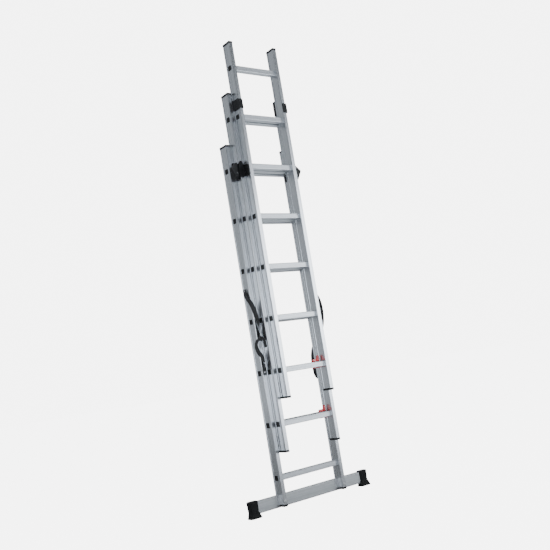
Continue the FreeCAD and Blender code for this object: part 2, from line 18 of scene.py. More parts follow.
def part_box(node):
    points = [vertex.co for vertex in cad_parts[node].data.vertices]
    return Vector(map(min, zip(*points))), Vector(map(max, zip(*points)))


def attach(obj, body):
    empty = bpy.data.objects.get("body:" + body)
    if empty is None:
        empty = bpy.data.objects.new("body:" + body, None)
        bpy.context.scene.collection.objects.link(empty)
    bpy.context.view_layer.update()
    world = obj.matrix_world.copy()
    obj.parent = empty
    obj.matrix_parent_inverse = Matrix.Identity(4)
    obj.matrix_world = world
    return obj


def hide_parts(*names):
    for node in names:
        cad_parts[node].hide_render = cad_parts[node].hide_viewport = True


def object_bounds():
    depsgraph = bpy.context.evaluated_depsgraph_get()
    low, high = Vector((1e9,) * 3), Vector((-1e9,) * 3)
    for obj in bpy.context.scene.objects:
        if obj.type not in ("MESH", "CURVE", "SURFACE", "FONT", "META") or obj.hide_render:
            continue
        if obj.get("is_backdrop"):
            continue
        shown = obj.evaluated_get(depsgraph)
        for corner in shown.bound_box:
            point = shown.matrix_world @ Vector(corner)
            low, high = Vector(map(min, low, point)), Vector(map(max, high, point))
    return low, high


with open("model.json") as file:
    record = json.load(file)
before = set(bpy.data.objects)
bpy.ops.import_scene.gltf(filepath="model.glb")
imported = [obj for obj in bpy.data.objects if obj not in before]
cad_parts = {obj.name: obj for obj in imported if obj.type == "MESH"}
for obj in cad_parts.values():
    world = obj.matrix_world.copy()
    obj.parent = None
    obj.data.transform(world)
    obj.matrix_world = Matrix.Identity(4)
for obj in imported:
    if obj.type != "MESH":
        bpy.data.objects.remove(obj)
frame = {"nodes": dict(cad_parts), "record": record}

CAD_BOX = [list(corner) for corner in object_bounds()]
NODES = frame["nodes"]
SLOTS = {part["node"]: part["material_slot"] for part in frame["record"]["subparts"]}
MM = 0.001
print(f"{len(NODES)} nodes, box {[round(v, 3) for v in CAD_BOX[0] + CAD_BOX[1]]}")

# %% [markdown]
# ## Where the viewer stands
# The ladder is seen from the climber's left at chest height, a little from below the middle,
# and it leans to the left in the frame. The model itself stands upright, so the lean is made
# by rolling the camera. Three directions describe a camera completely: where it looks, what
# is up for it, and what is right for it. Blender's camera looks along its own -Z. A small
# lens shift keeps the upright lines as parallel as they should be.

# %% Camera
CAMERA_AT = Vector((-2.6275, -3.1698, 0.7299))
LOOKS = Vector((0.5913, 0.8014, 0.0897)).normalized()
UP_HINT = Vector((0.0763, -0.1663, 0.9831))
LENS = 48.83
SHIFT = (0.0545, 0.06)

right = LOOKS.cross(UP_HINT).normalized()
up = right.cross(LOOKS)
camera_data = bpy.data.cameras.new("camera")
camera_data.lens = LENS
camera_data.sensor_width = 36.0
camera_data.shift_x, camera_data.shift_y = SHIFT
camera_data.clip_end = 200.0
camera = bpy.data.objects.new("camera", camera_data)
turned = Matrix((right, up, -LOOKS)).transposed().to_4x4()
camera.matrix_world = Matrix.Translation(CAMERA_AT) @ turned
bpy.context.scene.collection.objects.link(camera)
bpy.context.scene.camera = camera
print("camera", [round(v, 2) for v in CAMERA_AT], "lens", LENS)

# %% [markdown]
# ## Measures that the webbing needs
# Two webbing straps hang on the ladder, one on each side of the base section. They are the
# only free, soft things here, so their routes come first. Each route is a short list of points,
# written from the front outer edge of the base stile: outwards, backwards, and up from the
# floor. The webbing starts under a screw on the stile's side, drops past the front of the
# stile in a loose twist, and ends in a clip further down.

# %% Strap routes
BASE_LOW, BASE_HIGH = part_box("base_left_stile")
BASE_SIDE = -BASE_LOW.x
BASE_FRONT = BASE_LOW.y
LEFT_ROUTE = [(0.0048, 0.037, 1.186), (0.0048, 0.037, 1.166), (0.009, 0.022, 1.146),
              (0.009, 0.003, 1.124), (0.002, -0.011, 1.092), (-0.006, -0.015, 1.048),
              (-0.013, -0.015, 1.000), (-0.017, -0.012, 0.953), (-0.015, -0.010, 0.922),
              (0.002, -0.004, 0.908), (0.008, 0.010, 0.884), (0.005, 0.004, 0.848),
              (-0.006, -0.010, 0.818), (-0.015, -0.014, 0.786), (-0.0135, -0.0085, 0.763),
              (-0.0125, -0.0042, 0.742)]
RIGHT_ROUTE = [(0.0048, 0.037, 1.186), (0.0048, 0.037, 1.166), (0.024, 0.024, 1.144),
               (0.040, 0.010, 1.110), (0.049, 0.008, 1.064), (0.052, 0.012, 1.012),
               (0.050, 0.020, 0.960), (0.040, 0.038, 0.910), (0.024, 0.060, 0.870),
               (0.006, 0.076, 0.838), (-0.008, 0.082, 0.800), (-0.0175, 0.081, 0.756),
               (-0.0175, 0.080, 0.712), (-0.014, 0.079, 0.676), (-0.002, 0.078, 0.652),
               (0.012, 0.067, 0.646), (0.018, 0.051, 0.658), (0.009, 0.039, 0.680)]
TAIL_ROUTE = [(-0.012, -0.008, 0.915), (-0.012, -0.020, 0.915), (-0.013, -0.036, 0.906),
              (-0.014, -0.046, 0.888), (-0.014, -0.046, 0.862)]


def route_line(name, route, side):
    """The smooth line of a strap, and the points along it, read from the spline itself."""
    points = [Vector((side * (BASE_SIDE + x), BASE_FRONT + y, z)) for x, y, z in route]
    curve = bpy.data.curves.new(name, "CURVE")
    curve.dimensions = "3D"
    curve.resolution_u = 12
    spline = curve.splines.new("NURBS")
    spline.points.add(len(points) - 1)
    for spot, point in zip(spline.points, points):
        spot.co = (*point, 1.0)
    spline.order_u = 3
    spline.use_endpoint_u = True
    line = bpy.data.objects.new(name, curve)
    bpy.context.scene.collection.objects.link(line)
    mesh = bpy.data.meshes.new_from_object(line)
    along = [v.co.copy() for v in mesh.vertices]
    bpy.data.objects.remove(line)
    bpy.data.meshes.remove(mesh)
    length = sum((b - a).length for a, b in zip(along, along[1:]))
    print(f"{name}: {len(along)} points, {length * 1000:.0f} mm")
    return along, length


left_line, LEFT_LENGTH = route_line("strap_left_line", LEFT_ROUTE, -1)
right_line, RIGHT_LENGTH = route_line("strap_right_line", RIGHT_ROUTE, 1)
tail_line, _ = route_line("strap_tail_line", TAIL_ROUTE, -1)

# %% [markdown]
# ## A white studio
# Satin metal shows its surroundings more than it shows light, so the studio is built for the
# reflections first. In front, the world is bright along the horizon and falls off upwards, and
# behind it is an even grey: the front faces of the stiles then run from grey at the top to
# nearly white near the floor, and the side faces stay grey. Rays that go straight from the
# camera see plain white instead, which a Light Path node sorts out.

# %% Helpers for node trees
def node(tree, kind, **inputs):
    """Adds a shader node and sets its inputs by name (an underscore stands for a space)."""
    made = tree.nodes.new(kind)
    for key, value in inputs.items():
        made.inputs[key.replace("_", " ")].default_value = value
    return made


def math_node(tree, operation, *values):
    """A Math node, with sockets linked and numbers set, in order."""
    made = tree.nodes.new("ShaderNodeMath")
    made.operation = operation
    for i, value in enumerate(values):
        if isinstance(value, bpy.types.NodeSocket):
            tree.links.new(value, made.inputs[i])
        else:
            made.inputs[i].default_value = value
    return made.outputs[0]


def straight_ramp(tree, value, low, high, to_low=0.0, to_high=1.0):
    """Low to high becomes to_low to to_high, in a straight line, and stays there outside."""
    made = node(tree, "ShaderNodeMapRange", From_Min=low, From_Max=high, To_Min=to_low, To_Max=to_high)
    tree.links.new(value, made.inputs["Value"])
    return made.outputs[0]


def camera_sees(tree, seen, mirrored):
    """One shader for rays straight from the camera, and another for all other rays."""
    path = tree.nodes.new("ShaderNodeLightPath")
    pick = tree.nodes.new("ShaderNodeMixShader")
    tree.links.new(path.outputs["Is Camera Ray"], pick.inputs[0])
    tree.links.new(mirrored, pick.inputs[1])
    tree.links.new(seen, pick.inputs[2])
    return pick.outputs[0]


# %% World
WHITE_SEEN = 6.0
WHITE = (1, 1, 1, 1)
COOL_WHITE = (0.87, 0.94, 1.0, 1)
GREY_BEHIND = 0.5

world = bpy.data.worlds.new("studio")
bpy.context.scene.world = world
world.use_nodes = True
tree = world.node_tree
tree.nodes.clear()
direction = tree.nodes.new("ShaderNodeTexCoord").outputs["Generated"]
split = tree.nodes.new("ShaderNodeSeparateXYZ")
tree.links.new(direction, split.inputs[0])
in_front = straight_ramp(tree, split.outputs["Y"], 0.25, -0.35)
near_horizon = straight_ramp(tree, split.outputs["Z"], 0.0, 0.42, 1.0, 0.08)
far_right = straight_ramp(tree, split.outputs["X"], 0.42, 0.75, 1.0, 4.2)
horizon_glow = math_node(tree, "MULTIPLY", math_node(tree, "POWER", near_horizon, 1.5), far_right)
low_down = straight_ramp(tree, split.outputs["Z"], 0.02, 0.2, 4.5, 0.0)
on_left = straight_ramp(tree, split.outputs["X"], 0.2, -0.4)
low_left_glow = math_node(tree, "MULTIPLY", low_down, on_left)
front_glow = math_node(tree, "ADD", horizon_glow, low_left_glow)
front_part = math_node(tree, "MULTIPLY", front_glow, in_front)
back_part = math_node(tree, "MULTIPLY", math_node(tree, "SUBTRACT", 1.0, in_front), GREY_BEHIND)
lit = node(tree, "ShaderNodeBackground", Color=COOL_WHITE)
tree.links.new(math_node(tree, "ADD", front_part, back_part), lit.inputs["Strength"])
seen = node(tree, "ShaderNodeBackground", Color=WHITE, Strength=WHITE_SEEN)
out = tree.nodes.new("ShaderNodeOutputWorld")
tree.links.new(camera_sees(tree, seen.outputs[0], lit.outputs[0]), out.inputs["Surface"])
print("world: a bright horizon in front, grey behind, white to the camera")

# %% [markdown]
# ## The floor
# To the camera the floor is as white as the world, so that no horizon line shows, and it keeps
# a little of its own shading as a soft contact shadow. Metal also mirrors the floor. So for
# reflections it is grey paper near the ladder, which grows brighter far in front and behind.

# %% Floor
FLOOR_HALF = 40.0
PAPER_GREY = (0.42, 0.42, 0.42, 1)
BEHIND_THE_LADDER = (0.6, 0.8, 0)


def added(tree, first, second):
    """Two shaders on top of each other."""
    both = tree.nodes.new("ShaderNodeAddShader")
    tree.links.new(first.outputs[0], both.inputs[0])
    tree.links.new(second.outputs[0], both.inputs[1])
    return both.outputs[0]


def floor_material():
    """White to the camera, and grey paper with a far glow to all other rays."""
    made = bpy.data.materials.new("studio_floor")
    made.use_nodes = True
    tree = made.node_tree
    tree.nodes.clear()
    paper = node(tree, "ShaderNodeBsdfDiffuse", Color=PAPER_GREY)
    white = node(tree, "ShaderNodeEmission", Color=WHITE, Strength=WHITE_SEEN)
    spot = tree.nodes.new("ShaderNodeTexCoord").outputs["Object"]
    split = tree.nodes.new("ShaderNodeSeparateXYZ")
    tree.links.new(spot, split.inputs[0])
    far_front = straight_ramp(tree, split.outputs["Y"], -0.8, -4.5, 0.0, 2.6)
    backwards = tree.nodes.new("ShaderNodeVectorMath")
    backwards.operation = "DOT_PRODUCT"
    backwards.inputs[1].default_value = BEHIND_THE_LADDER
    tree.links.new(spot, backwards.inputs[0])
    far_back = straight_ramp(tree, backwards.outputs["Value"], 0.8, 4.0)
    haze = node(tree, "ShaderNodeEmission", Color=COOL_WHITE)
    tree.links.new(math_node(tree, "ADD", far_front, far_back), haze.inputs["Strength"])
    surface = camera_sees(tree, added(tree, paper, white), added(tree, paper, haze))
    out = tree.nodes.new("ShaderNodeOutputMaterial")
    tree.links.new(surface, out.inputs["Surface"])
    return made


floor_mesh = bpy.data.meshes.new("floor")
corners = [(-1, -1), (1, -1), (1, 1), (-1, 1)]
floor_mesh.from_pydata([(x * FLOOR_HALF, y * FLOOR_HALF, 0) for x, y in corners], [], [(0, 1, 2, 3)])
floor_mesh.materials.append(floor_material())
floor = bpy.data.objects.new("floor", floor_mesh)
bpy.context.scene.collection.objects.link(floor)
floor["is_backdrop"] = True
print("floor at Z = 0")

# %% [markdown]
# ## Softboxes
# Four large lamps add to the world's own light: a key from the right that whitens the front
# faces, a weaker one in front, one overhead for the tops of the rungs, and a faint rim from
# behind on the left. They are large, so that their highlights on the metal have soft ends.

# %% Lights
def softbox(name, at, aim, size, watts, colour=(1, 1, 1)):
    """A rectangular lamp at a place, turned to a point."""
    data = bpy.data.lights.new(name, "AREA")
    data.shape = "RECTANGLE"
    data.size, data.size_y = size
    data.energy = watts
    data.color = colour
    lamp = bpy.data.objects.new(name, data)
    lamp.location = at
    lamp.rotation_euler = (Vector(aim) - Vector(at)).to_track_quat("-Z", "Y").to_euler()
    bpy.context.scene.collection.objects.link(lamp)
    return lamp


softbox("key", (3.4, -4.2, 1.7), aim=(0, 0, 1.0), size=(2.2, 2.4), watts=60, colour=(0.94, 0.97, 1.0))
softbox("front", (-1.2, -4.8, 1.6), aim=(0, 0, 1.2), size=(2.0, 3.0), watts=30, colour=(0.95, 0.97, 1.0))
softbox("overhead", (0.4, -0.6, 5.2), aim=(0, 0, 1.0), size=(3.0, 3.0), watts=60)
softbox("rim", (-4.0, 1.6, 1.2), aim=(0, 0, 0.9), size=(1.6, 2.6), watts=14)
print("four softboxes")

# %% [markdown]
# ## Effects that several finishes share
# An extruded or moulded part never has one even colour. Die lines run along an extrusion,
# edges are polished by handling, dust settles on what faces up, mouldings have a fine grain,
# and webbing is woven. Each of these effects is a node group with named inputs and outputs.
# A group only gives masks and heights; the shader that uses them stays in each material.

# %% Groups: a helper, and die lines
def group(name, inputs, outputs):
    """A new shader node group with float or vector sockets."""
    made = bpy.data.node_groups.new(name, "ShaderNodeTree")
    for label, kind, value in inputs:
        socket = made.interface.new_socket(label, in_out="INPUT", socket_type=kind)
        socket.default_value = value
    for label in outputs:
        made.interface.new_socket(label, in_out="OUTPUT", socket_type="NodeSocketFloat")
    start = made.nodes.new("NodeGroupInput")
    end = made.nodes.new("NodeGroupOutput")
    return made, start.outputs, end.inputs


FLOAT, VECTOR = "NodeSocketFloat", "NodeSocketVector"


def even(tree, value):
    """The same value on all three axes, as a vector socket."""
    spread = tree.nodes.new("ShaderNodeCombineXYZ")
    for axis in "XYZ":
        tree.links.new(value, spread.inputs[axis])
    return spread.outputs[0]


def scaled_position(tree, scale):
    """Position on the piece, multiplied by a vector socket."""
    place = tree.nodes.new("ShaderNodeTexCoord").outputs["Object"]
    times = tree.nodes.new("ShaderNodeVectorMath")
    times.operation = "MULTIPLY"
    tree.links.new(place, times.inputs[0])
    tree.links.new(scale, times.inputs[1])
    return times.outputs[0]


def noise(tree, position, detail=2.0, roughness=0.55):
    """Soft random values from 0 to 1."""
    made = node(tree, "ShaderNodeTexNoise", Scale=1.0, Detail=detail, Roughness=roughness)
    tree.links.new(position, made.inputs["Vector"])
    return made.outputs["Fac"]


def ramp(tree, value, low, high, to_low=0.0, to_high=1.0):
    """As straight_ramp, but eased at both ends."""
    made = node(tree, "ShaderNodeMapRange", From_Min=low, From_Max=high, To_Min=to_low, To_Max=to_high)
    made.interpolation_type = "SMOOTHSTEP"
    tree.links.new(value, made.inputs["Value"])
    return made.outputs[0]


BAND_SCALE = 0.12
DIE_LINES, given, result = group("die_lines", [("Stretch", VECTOR, (900, 900, 0.5))],
                                 ["Lines", "Bands"])
fine = scaled_position(DIE_LINES, given["Stretch"])
DIE_LINES.links.new(ramp(DIE_LINES, noise(DIE_LINES, fine, 4.0), 0.35, 0.65), result["Lines"])
wide = DIE_LINES.nodes.new("ShaderNodeVectorMath")
wide.operation = "SCALE"
wide.inputs["Scale"].default_value = BAND_SCALE
DIE_LINES.links.new(fine, wide.inputs[0])
DIE_LINES.links.new(ramp(DIE_LINES, noise(DIE_LINES, wide.outputs[0]), 0.3, 0.7), result["Bands"])
print("group", DIE_LINES.name)

# %% [markdown]
# Wear shows where edges rub. The Bevel node gives the normal as if every edge were rounded:
# where it disagrees with the true normal, there is an edge. Noise breaks the line up, because
# no edge wears evenly.

# %% Group: worn edges
EDGE_WEAR, given, result = group("edge_wear", [("Radius", FLOAT, 0.001), ("Patchiness", FLOAT, 60)],
                                 ["Edge"])
rounded = EDGE_WEAR.nodes.new("ShaderNodeBevel")
rounded.samples = 4
EDGE_WEAR.links.new(given["Radius"], rounded.inputs["Radius"])
flat = EDGE_WEAR.nodes.new("ShaderNodeNewGeometry")
agree = EDGE_WEAR.nodes.new("ShaderNodeVectorMath")
agree.operation = "DOT_PRODUCT"
EDGE_WEAR.links.new(rounded.outputs[0], agree.inputs[0])
EDGE_WEAR.links.new(flat.outputs["Normal"], agree.inputs[1])
bent = ramp(EDGE_WEAR, math_node(EDGE_WEAR, "SUBTRACT", 1.0, agree.outputs["Value"]), 0.01, 0.2)
patches = noise(EDGE_WEAR, scaled_position(EDGE_WEAR, even(EDGE_WEAR, given["Patchiness"])), 3.0)
worn = math_node(EDGE_WEAR, "MULTIPLY", bent, ramp(EDGE_WEAR, patches, 0.3, 0.6))
EDGE_WEAR.links.new(worn, result["Edge"])
print("group", EDGE_WEAR.name)

# %% [markdown]
# Hands leave smudges anywhere, and dust stays only on what faces up. One noise serves both, so
# that the dust lies in the same patches as the smudges.

# %% Group: marks from hands and dust
HANDLING, given, result = group("handling", [("Size", FLOAT, 14.0)], ["Smudge", "Dust"])
spots = noise(HANDLING, scaled_position(HANDLING, even(HANDLING, given["Size"])), 5.0, 0.6)
HANDLING.links.new(ramp(HANDLING, spots, 0.45, 0.75), result["Smudge"])
facing = HANDLING.nodes.new("ShaderNodeSeparateXYZ")
HANDLING.links.new(HANDLING.nodes.new("ShaderNodeNewGeometry").outputs["Normal"], facing.inputs[0])
settled = math_node(HANDLING, "MULTIPLY", ramp(HANDLING, facing.outputs["Z"], 0.4, 0.95),
                    ramp(HANDLING, spots, 0.3, 0.6))
HANDLING.links.new(settled, result["Dust"])
print("group", HANDLING.name)

# %% [markdown]
# A mould is textured by spark erosion or etching, which leaves small pits between rounded
# cells. A Voronoi pattern gives the cells, and noise makes them uneven.

# %% Group: the grain of a moulding
CELL_SHARE, NOISE_SHARE = 0.6, 0.4
MOULD_GRAIN, given, result = group("mould_grain", [("Grain Size", FLOAT, 1500.0)],
                                   ["Height", "Fleck"])
grain_at = scaled_position(MOULD_GRAIN, even(MOULD_GRAIN, given["Grain Size"]))
cells = node(MOULD_GRAIN, "ShaderNodeTexVoronoi", Scale=1.0)
MOULD_GRAIN.links.new(grain_at, cells.inputs["Vector"])
cell_part = math_node(MOULD_GRAIN, "MULTIPLY", cells.outputs["Distance"], CELL_SHARE)
noise_part = math_node(MOULD_GRAIN, "MULTIPLY", noise(MOULD_GRAIN, grain_at, 3.0), NOISE_SHARE)
grain = math_node(MOULD_GRAIN, "ADD", cell_part, noise_part)
MOULD_GRAIN.links.new(grain, result["Height"])
MOULD_GRAIN.links.new(ramp(MOULD_GRAIN, grain, 0.2, 0.7), result["Fleck"])
print("group", MOULD_GRAIN.name)

# %% [markdown]
# Webbing is a twill: threads run along the band, and the crossings step sideways from one
# thread to the next, in a slant that turns back every few threads. The pattern is worked out
# in metres along and across the band, from a UV map made with the mesh, so it bends with it.

# %% Group: a twill weave for webbing
THREAD = 0.0011
THREADS_PER_TURN = 6.0
HALF_WAVE = 1.57


def wave(tree, value, step):
    """Rounded ridges: the absolute sine of a value."""
    return math_node(tree, "ABSOLUTE", math_node(tree, "SINE", math_node(tree, "MULTIPLY", value, step)))


WEAVE, given, result = group("webbing_weave", [("Thread", FLOAT, THREAD)], ["Height", "Thread Top"])
flat_place = WEAVE.nodes.new("ShaderNodeUVMap")
flat_place.uv_map = "webbing"
sheet = WEAVE.nodes.new("ShaderNodeSeparateXYZ")
WEAVE.links.new(flat_place.outputs[0], sheet.inputs[0])
run = math_node(WEAVE, "DIVIDE", sheet.outputs["X"], given["Thread"])
across = math_node(WEAVE, "DIVIDE", sheet.outputs["Y"], given["Thread"])
rib = wave(WEAVE, across, math.pi)
slant = math_node(WEAVE, "ADD", run, math_node(WEAVE, "PINGPONG", across, THREADS_PER_TURN))
crossing = math_node(WEAVE, "MULTIPLY", wave(WEAVE, slant, HALF_WAVE), 0.6)
woven = math_node(WEAVE, "MULTIPLY", rib, math_node(WEAVE, "ADD", crossing, 0.4))
WEAVE.links.new(woven, result["Height"])
WEAVE.links.new(ramp(WEAVE, woven, 0.35, 0.9), result["Thread Top"])
print("group", WEAVE.name)

# %% [markdown]
# ## Finishes
# Each material slot of the record gets one material. The recipe is the same for every family:
# the Principled BSDF holds the plain values, and a few groups vary its colour, its roughness
# and its surface. Aluminium differs from steel in its die lines and its tint, and plastic
# differs from rubber in its grain and its gloss.

# %% Finishes: helpers
def start_material(name, colour, roughness, metallic=0.0):
    """A material with the plain values on its Principled BSDF."""
    made = bpy.data.materials.new(name)
    made.use_nodes = True
    shader = made.node_tree.nodes["Principled BSDF"]
    shader.inputs["Base Color"].default_value = (*colour, 1)
    shader.inputs["Roughness"].default_value = roughness
    shader.inputs["Metallic"].default_value = metallic
    return made, made.node_tree, shader


def use(tree, shared, **inputs):
    """Places a shared group in a material with its own values."""
    made = tree.nodes.new("ShaderNodeGroup")
    made.node_tree = shared
    for key, value in inputs.items():
        made.inputs[key.replace("_", " ")].default_value = value
    return made.outputs


# the Mix node has sockets for numbers, vectors and colours, and these places hold its colours
MIX_FIRST, MIX_SECOND, MIX_RESULT = 6, 7, 2


def mixed(tree, factor, first, second):
    """A colour mix. Colours are triples or sockets."""
    made = tree.nodes.new("ShaderNodeMix")
    made.data_type = "RGBA"
    tree.links.new(factor, made.inputs["Factor"])
    for socket, value in ((made.inputs[MIX_FIRST], first), (made.inputs[MIX_SECOND], second)):
        if isinstance(value, bpy.types.NodeSocket):
            tree.links.new(value, socket)
        else:
            socket.default_value = (*value, 1)
    return made.outputs[MIX_RESULT]


def share_of(tree, mask, most):
    """A mask turned down, so that its full effect is only a share."""
    return math_node(tree, "MULTIPLY", mask, most)


def bumped(tree, shader, height, distance, strength=1.0):
    """Turns a height into the shader's surface relief, this many metres deep."""
    made = node(tree, "ShaderNodeBump", Strength=strength, Distance=distance)
    tree.links.new(height, made.inputs["Height"])
    tree.links.new(made.outputs[0], shader.inputs["Normal"])


# %% Finishes: aluminium and steel
POLISHED_EDGE = (0.88, 0.89, 0.91)
METAL_DUST = (0.62, 0.6, 0.57)


def aluminium(name, colour, stretch, roughness, line_depth=0.00012, contrast=0.16):
    """Satin extruded aluminium: die lines along the profile, brighter edges, faint smudges."""
    made, tree, shader = start_material(name, colour, roughness, metallic=1.0)
    lines = use(tree, DIE_LINES, Stretch=stretch)
    edge = use(tree, EDGE_WEAR, Radius=0.0012, Patchiness=7.0)["Edge"]
    marks = use(tree, HANDLING, Size=9.0)
    dark = tuple(c * (1 - contrast) for c in colour)
    streaked = mixed(tree, lines["Bands"], dark, colour)
    polished = mixed(tree, share_of(tree, edge, 0.35), streaked, POLISHED_EDGE)
    dusty = mixed(tree, share_of(tree, marks["Dust"], 0.12), polished, METAL_DUST)
    tree.links.new(dusty, shader.inputs["Base Color"])
    lined = ramp(tree, lines["Lines"], 0, 1, roughness - 0.05, roughness + 0.05)
    smudged = math_node(tree, "ADD", lined, share_of(tree, marks["Smudge"], 0.03))
    tree.links.new(smudged, shader.inputs["Roughness"])
    bumped(tree, shader, lines["Lines"], line_depth, 0.12)
    return made


def plated_steel(name, colour, roughness, worn_to, metallic=1.0):
    """Plated or painted steel with fine grain, scuffed on its edges."""
    made, tree, shader = start_material(name, colour, roughness, metallic)
    grain = use(tree, MOULD_GRAIN, Grain_Size=900.0)
    edge = use(tree, EDGE_WEAR, Radius=0.0006, Patchiness=220.0)["Edge"]
    marks = use(tree, HANDLING, Size=40.0)
    dull = mixed(tree, marks["Smudge"], colour, tuple(c * 0.8 for c in colour))
    tree.links.new(mixed(tree, edge, dull, worn_to), shader.inputs["Base Color"])
    tree.links.new(ramp(tree, grain["Fleck"], 0, 1, roughness - 0.06, roughness + 0.08),
                   shader.inputs["Roughness"])
    bumped(tree, shader, grain["Height"], 0.00004, 0.3)
    return made


ALONG_STILE = (1100.0, 1100.0, 0.35)
ALONG_RUNG = (0.8, 1400.0, 1400.0)
FINISHES = {
    "stile_aluminium": aluminium("satin_stile", (0.70, 0.72, 0.75), ALONG_STILE, 0.27),
    "rung_aluminium": aluminium("ridged_rung", (0.60, 0.62, 0.65), ALONG_RUNG, 0.42),
    "bar_aluminium": aluminium("grey_bar", (0.60, 0.62, 0.64), ALONG_RUNG, 0.40, contrast=0.1),
    "bright_steel": plated_steel("zinc_plate", (0.74, 0.75, 0.77), 0.30, (0.85, 0.85, 0.85)),
    "dark_steel": plated_steel("black_paint", (0.09, 0.092, 0.096), 0.38, (0.4, 0.4, 0.41), 0.6),
}
print(sorted(FINISHES))

# %% [markdown]
# Mouldings and rubber share one recipe. Their blacks are deep and their highlights are weak,
# which is why the specular level is low, and the pale edges and the dust make the shape
# readable. Only the red levers are glossy.

# %% Finishes: plastics and rubber
MOULDING_DUST = (0.34, 0.33, 0.31)


def moulding(name, colour, roughness, grain_size, grain_depth, coat=0.0, shine=0.25,
             scuff=(0.12, 0.12, 0.125)):
    """Moulded plastic or rubber: grain, pale scuffs on the edges and dust on top."""
    made, tree, shader = start_material(name, colour, roughness)
    shader.inputs["Coat Weight"].default_value = coat
    shader.inputs["Coat Roughness"].default_value = 0.08
    shader.inputs["Specular IOR Level"].default_value = shine
    grain = use(tree, MOULD_GRAIN, Grain_Size=grain_size)
    edge = use(tree, EDGE_WEAR, Radius=0.0011, Patchiness=120.0)["Edge"]
    marks = use(tree, HANDLING, Size=22.0)
    flecked = mixed(tree, grain["Fleck"], tuple(c * 0.82 for c in colour), colour)
    scuffed = mixed(tree, share_of(tree, edge, 0.45), flecked, scuff)
    dusty = mixed(tree, share_of(tree, marks["Dust"], 0.18), scuffed, MOULDING_DUST)
    tree.links.new(dusty, shader.inputs["Base Color"])
    tree.links.new(ramp(tree, marks["Smudge"], 0, 1, roughness - 0.05, roughness + 0.1),
                   shader.inputs["Roughness"])
    bumped(tree, shader, grain["Height"], grain_depth, 0.5)
    return made


BLACK = (0.008, 0.0085, 0.0095)
FINISHES.update({
    "black_plastic": moulding("cap_plastic", BLACK, 0.46, 1300.0, 0.00008),
    "bracket_black": moulding("bracket_plastic", BLACK, 0.40, 900.0, 0.0001),
    "pad_plastic": moulding("pad_plastic", (0.04, 0.04, 0.043), 0.5, 1300.0, 0.00005),
    "black_rubber": moulding("foot_rubber", (0.009, 0.010, 0.011), 0.8, 1500.0, 0.0002),
    "red_plastic": moulding("latch_red", (0.75, 0.012, 0.02), 0.22, 700.0, 0.00002, coat=0.4,
                            shine=0.5, scuff=(0.8, 0.2, 0.2)),
})


# %% [markdown]
# The webbing is black polyester. The weave sets its roughness and its height, and its colour
# carries painted light and shade: thread tops are painted lighter and the gaps between them
# darker, as light and shade would fall on the weave. Tops are also smoother, and a soft sheen
# stands for loose fibre.

# %% Finishes: webbing
# painted shade for the gaps between threads, painted light for the thread tops, then the colour of worn,
# faded fibre
PAINTED_GAP_SHADE, PAINTED_TOP_LIGHT, FADED = (0.004, 0.004, 0.005), (0.03, 0.031, 0.035), (0.045, 0.045, 0.048)


def webbing_material():
    """Black woven polyester: ribs of thread with a soft sheen."""
    made, tree, shader = start_material("black_webbing", (0.012, 0.012, 0.014), 0.68)
    shader.inputs["Sheen Weight"].default_value = 0.25
    shader.inputs["Sheen Roughness"].default_value = 0.4
    weave = use(tree, WEAVE, Thread=THREAD)
    marks = use(tree, HANDLING, Size=60.0)
    # painted light and shade: the weave's height paints the gaps dark and the thread tops light
    weave_painted_light_and_shade = mixed(tree, weave["Thread Top"], PAINTED_GAP_SHADE, PAINTED_TOP_LIGHT)
    faded = mixed(tree, share_of(tree, marks["Smudge"], 0.4), weave_painted_light_and_shade, FADED)
    tree.links.new(faded, shader.inputs["Base Color"])
    tree.links.new(ramp(tree, weave["Thread Top"], 0, 1, 0.8, 0.55), shader.inputs["Roughness"])
    bumped(tree, shader, weave["Height"], 0.0004, 0.8)
    return made


FINISHES["strap_webbing"] = webbing_material()
print(len(FINISHES), "finishes")

# %% [markdown]
# ## The pieces that the solid model already has right
# Stiles, rungs, plugs, caps, brackets and latches keep their shape. Two modifiers make them
# real: Weld closes the seams that the export leaves between faces, and Bevel rounds every
# sharp edge by a small radius, so that each edge catches a line of light. A sheared or sawn
# aluminium edge is nearly sharp, and a moulded edge is rounder.

# %% Soften and finish the model's own pieces
WELD_GAP = 0.00002
EDGE = {"stile_aluminium": 0.5, "rung_aluminium": 0.35, "bar_aluminium": 0.6, "bright_steel": 0.35,
        "dark_steel": 0.4, "black_plastic": 0.7, "bracket_black": 1.1, "pad_plastic": 0.5,
        "black_rubber": 1.5, "red_plastic": 0.9, "strap_webbing": 0.3}


def soften(piece, width):
    """Welds the mesh and rounds its edges with modifiers, and leaves the mesh data alone."""
    weld = piece.modifiers.new("weld", "WELD")
    weld.merge_threshold = WELD_GAP
    bevel = piece.modifiers.new("bevel", "BEVEL")
    bevel.width = width
    bevel.segments = 2
    bevel.limit_method = "ANGLE"
    bevel.angle_limit = math.radians(32)
    bevel.harden_normals = True


for name, piece in NODES.items():
    piece.data.materials.clear()
    piece.data.materials.append(FINISHES[SLOTS[name]])
    soften(piece, EDGE[SLOTS[name]] * MM)
print("finished", len(NODES), "nodes")
